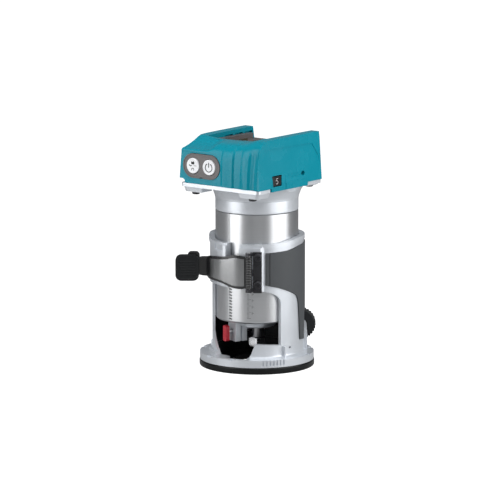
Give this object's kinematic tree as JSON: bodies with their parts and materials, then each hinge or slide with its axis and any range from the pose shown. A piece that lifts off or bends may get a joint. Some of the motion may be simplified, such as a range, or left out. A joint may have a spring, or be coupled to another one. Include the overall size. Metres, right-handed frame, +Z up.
{
  "type": "trim router",
  "caption": "Cordless trim router: teal head with a battery channel, aluminium motor barrel and a silver clamp base with an open front, a clamp lever and a depth knob.",
  "frame": {"origin": "middle of the bounding box at the underside of the base plate", "axes": "+Z up along the spindle, -Y to the front of the head where the buttons are, +X to the right seen from the front"},
  "size_m": [0.0904, 0.1158, 0.1844],
  "materials": {
    "teal_plastic": "satin moulded teal plastic",
    "silver_paint": "cast aluminium with satin silver paint",
    "brushed_aluminium": "turned aluminium, satin",
    "black_gloss": "gloss black plastic",
    "black_plastic": "matt black plastic",
    "grip_rubber": "matt dark grey rubber",
    "steel": "machined steel",
    "dark_steel": "blackened steel",
    "panel_grey": "satin dark grey plastic",
    "button_white": "satin white plastic",
    "red_plastic": "red plastic",
    "brass": "plated brass",
    "copper": "copper windings on a steel core",
    "board_green": "green circuit board",
    "clear_lens": "clear lens"
  },
  "bodies": {
    "base": {"base_housing": "silver_paint", "base_plate": "black_plastic", "base_plate_screw_1": "dark_steel", "base_plate_screw_2": "dark_steel", "base_plate_screw_3": "dark_steel", "base_plate_screw_4": "dark_steel", "right_grip": "grip_rubber", "left_grip": "grip_rubber", "clamp_bolt": "steel", "clamp_nut": "steel", "lever_pin": "steel", "lever_bracket": "dark_steel", "bracket_screw_upper": "dark_steel", "bracket_screw_lower": "dark_steel", "pinion_bush": "brass"},
    "clamp_lever": {"locking_lever": "black_gloss", "lever_pad": "black_plastic"},
    "depth_control": {"depth_knob": "black_plastic", "pinion_shaft": "steel", "knob_screw": "steel"},
    "motor_unit": {"motor_barrel": "brushed_aluminium", "depth_rack": "steel", "bearing_housing": "silver_paint", "stator": "copper", "lower_bearing": "steel", "upper_bearing": "steel", "motor_end_bracket": "brushed_aluminium", "led_lens_left": "clear_lens", "led_lens_right": "clear_lens", "head_lower_cover": "silver_paint", "head_housing": "teal_plastic", "button_panel": "panel_grey", "dial_spindle": "steel", "terminal_block": "panel_grey", "terminal_plus": "brass", "terminal_minus": "brass", "controller_board": "board_green", "head_screw_1": "dark_steel", "head_screw_2": "dark_steel", "head_screw_3": "dark_steel", "head_screw_4": "dark_steel"},
    "spindle_assembly": {"spindle": "steel", "rotor": "dark_steel", "cooling_fan": "black_plastic", "collet_nut": "steel", "collet_cone": "steel"},
    "speed_wheel": {"speed_dial": "black_plastic"},
    "lock_key": {"lock_button": "button_white"},
    "power_key": {"power_button": "button_white"},
    "spindle_lock": {"spindle_lock_button": "red_plastic"}
  },
  "joints": [
    {"name": "depth_slide", "type": "slide", "parent": "base", "child": "motor_unit", "axis": [0, 0, 1], "range_m": [-0.013, 0.002]},
    {"name": "clamp_lever_hinge", "type": "hinge", "parent": "base", "child": "clamp_lever", "pos_m": [0.02117, -0.04063, 0.08], "axis": [0, 0, 1], "range_deg": [0, 100]},
    {"name": "depth_knob_turn", "type": "hinge", "parent": "base", "child": "depth_control", "pos_m": [0.02711, 0.01797, 0.0256], "axis": [-0.6157, 0.788, 0], "range_deg": [-250, 40]},
    {"name": "spindle_turn", "type": "hinge", "parent": "motor_unit", "child": "spindle_assembly", "pos_m": [0, -0.0032, 0.06], "axis": [0, 0, 1], "continuous": true},
    {"name": "speed_dial_turn", "type": "hinge", "parent": "motor_unit", "child": "speed_wheel", "pos_m": [0.0258, -0.0279, 0.1523], "axis": [0, 0, 1], "range_deg": [-180, 45]},
    {"name": "lock_button_press", "type": "slide", "parent": "motor_unit", "child": "lock_key", "axis": [0, 1, 0], "range_m": [0, 0.0007], "stiffness_N_per_m": 1500},
    {"name": "power_button_press", "type": "slide", "parent": "motor_unit", "child": "power_key", "axis": [0, 1, 0], "range_m": [0, 0.0007], "stiffness_N_per_m": 1500},
    {"name": "spindle_lock_press", "type": "slide", "parent": "motor_unit", "child": "spindle_lock", "axis": [0.342, 0.9397, 0], "range_m": [0, 0.003], "stiffness_N_per_m": 1500}
  ],
  "couplings": [
    {"joint": "depth_knob_turn", "follows": "depth_slide", "rad_per_m": 333.36}
  ]
}
